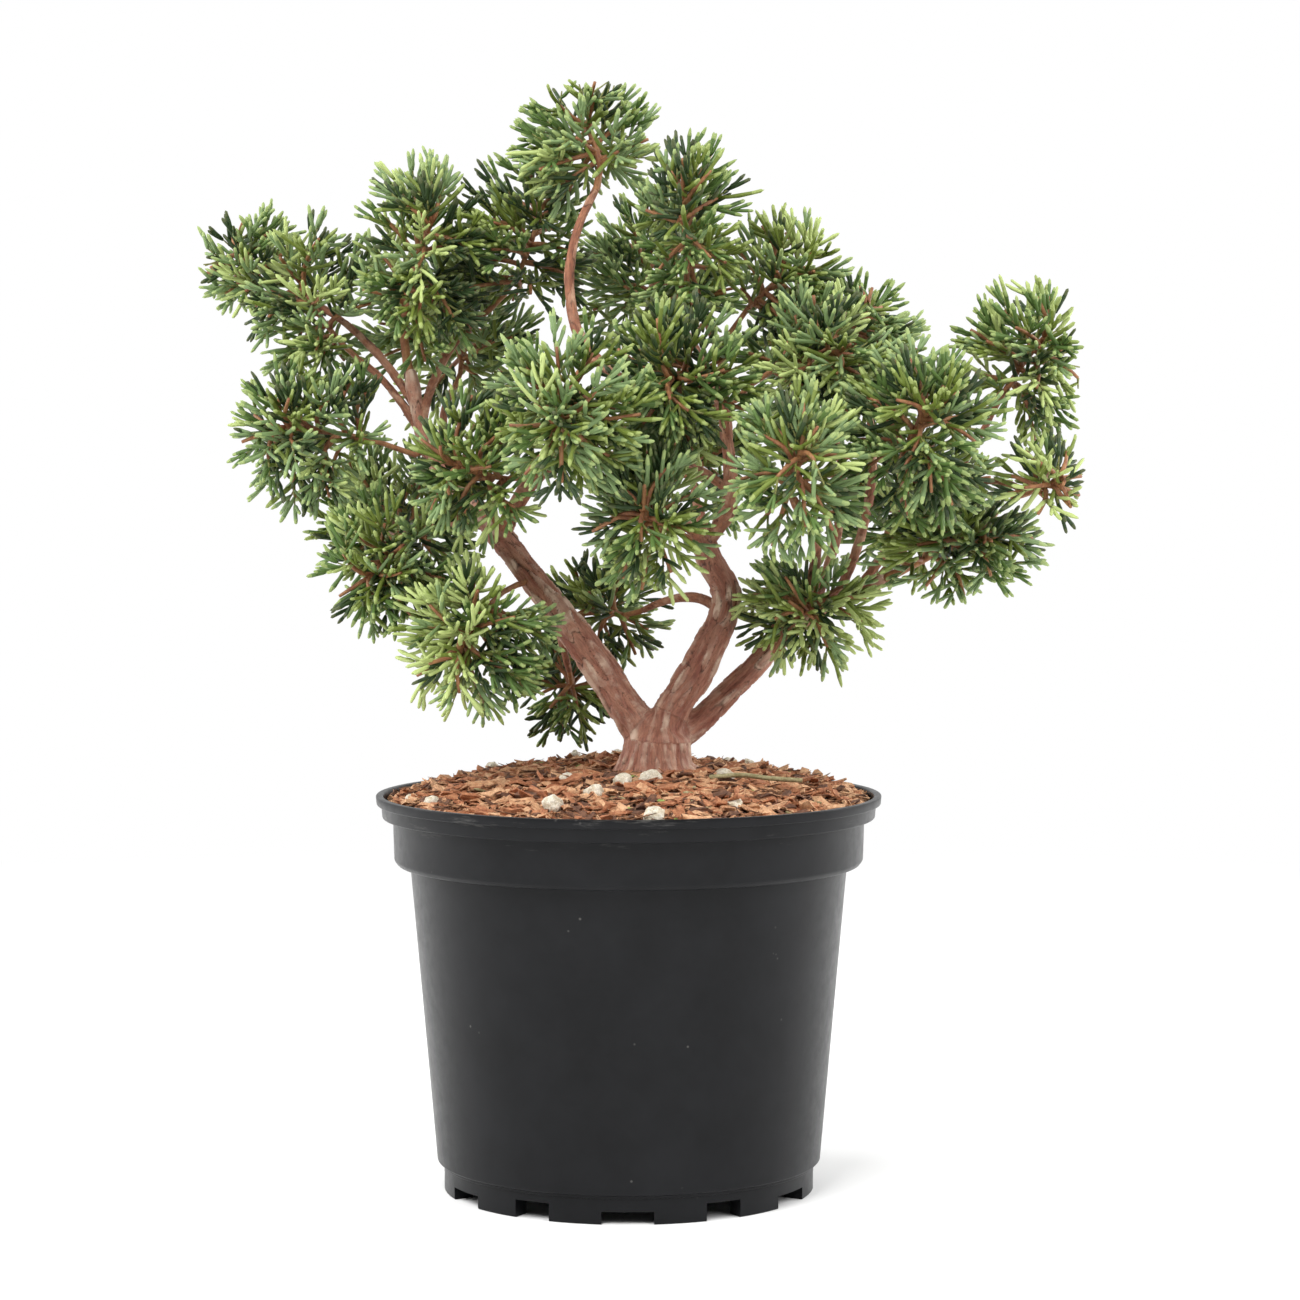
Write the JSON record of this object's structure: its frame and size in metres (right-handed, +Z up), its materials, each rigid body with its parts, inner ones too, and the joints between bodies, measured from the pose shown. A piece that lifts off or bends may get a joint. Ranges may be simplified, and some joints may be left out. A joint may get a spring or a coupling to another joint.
{
  "type": "potted juniper",
  "caption": "A young spreading juniper with bent reddish limbs and open sprays of blue-green scale foliage, in a round black nursery pot topped with bark mulch",
  "frame": {"origin": "on the ground under the middle of the whole, which is the pot's axis, at the level of the pot's feet", "axes": "+Z up, +X along the crown's longest level reach, the front of the plant faces -Y"},
  "size_m": [0.3295, 0.2334, 0.4147],
  "materials": {
    "bark": "rough",
    "bark_mulch": "rough",
    "needles_blue": "matte",
    "needles_dark": "matte",
    "needles_mid": "matte",
    "needles_yellow": "matte",
    "pot_plastic": "satin",
    "twig_bark": "rough"
  },
  "bodies": {
    "root": {"back_hanging": "needles_dark", "back_hanging_bough": "twig_bark", "back_high": "needles_blue", "back_high_bough": "twig_bark", "back_low": "needles_dark", "back_low_bough": "twig_bark", "back_middle": "needles_mid", "back_middle_bough": "twig_bark", "centre_hanging": "needles_blue", "centre_hanging_bough": "twig_bark", "centre_heart": "needles_mid", "centre_limb": "bark", "centre_spire": "needles_mid", "centre_stem": "bark", "leader": "bark", "leader_back": "needles_dark", "leader_back_bough": "twig_bark", "leader_foot": "bark", "leader_top": "needles_blue", "leader_tuft": "needles_blue", "left_back_high": "needles_blue", "left_back_high_bough": "twig_bark", "left_back_low": "needles_mid", "left_back_low_bough": "twig_bark", "left_crown": "needles_blue", "left_hanging": "needles_yellow", "left_inner": "needles_mid", "left_inner_bough": "twig_bark", "left_limb": "bark", "left_low": "needles_mid", "left_outer": "needles_blue", "left_shoulder": "needles_blue", "left_shoulder_bough": "twig_bark", "left_tip": "needles_blue", "left_tip_bough": "twig_bark", "pot": "pot_plastic", "right_back_high": "needles_blue", "right_back_high_bough": "twig_bark", "right_back_low": "needles_mid", "right_far": "needles_yellow", "right_far_bough": "twig_bark", "right_front": "needles_blue", "right_front_bough": "twig_bark", "right_hanging": "needles_yellow", "right_limb": "bark", "right_low": "needles_mid", "right_notch": "needles_mid", "right_notch_bough": "twig_bark", "right_outer": "needles_blue", "right_outer_bough": "twig_bark", "right_spire": "needles_mid", "right_tip": "needles_yellow", "right_tip_bough": "twig_bark", "right_upper": "needles_blue", "soil": "bark_mulch", "trunk": "bark"}
  },
  "joints": []
}
